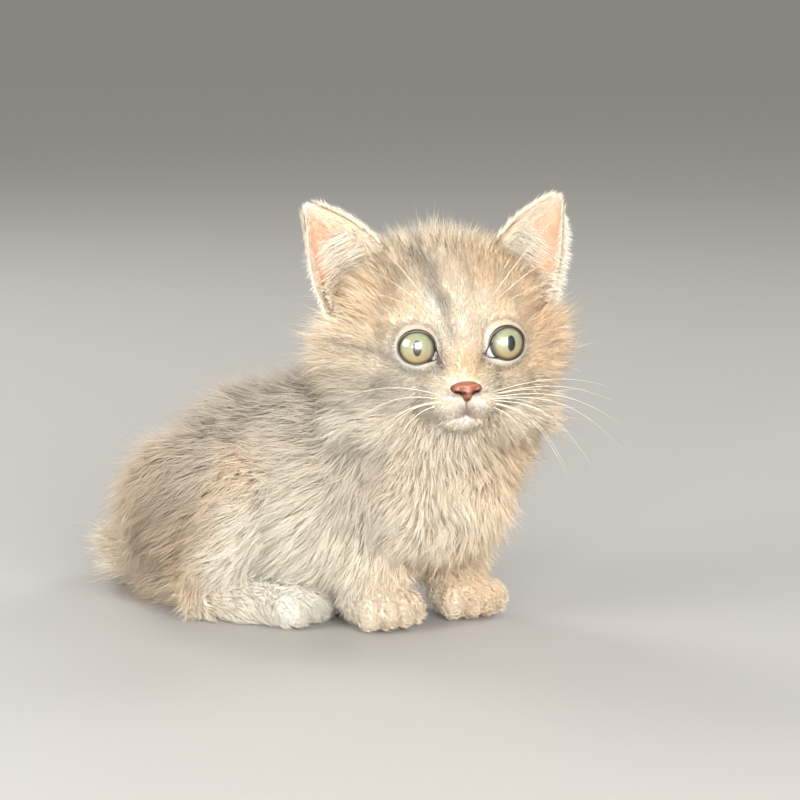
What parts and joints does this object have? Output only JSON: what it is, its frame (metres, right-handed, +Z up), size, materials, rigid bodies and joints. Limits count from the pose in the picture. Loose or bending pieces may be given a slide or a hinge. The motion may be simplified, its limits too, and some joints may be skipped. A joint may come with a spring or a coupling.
{
  "type": "munchkin kitten model",
  "caption": "Life-size still model of a fluffy short-legged munchkin kitten, crouched on its haunches with its head turned to its right.",
  "frame": {"origin": "middle of the bounding box's base, on the floor that the kitten rests on", "axes": "+X forwards along the trunk from rump to chest, +Y to the kitten's left, +Z up"},
  "size_m": [0.1806, 0.1058, 0.1401],
  "materials": {
    "coat": "soft fluffy cream, grey and peach fur",
    "ear": "thin pink skin with short pale fur",
    "nose": "moist brick-pink nose leather",
    "eye": "wet, glossy grey-green and amber eye"
  },
  "bodies": {
    "root": {"head": "coat", "neck": "coat", "torso": "coat", "foreleg_left": "coat", "foreleg_right": "coat", "hindleg_left": "coat", "hindleg_right": "coat", "tail_root": "coat", "tail_tip": "coat", "ear_left": "ear", "ear_right": "ear", "eye_left": "eye", "eye_right": "eye", "nose": "nose"}
  },
  "joints": []
}
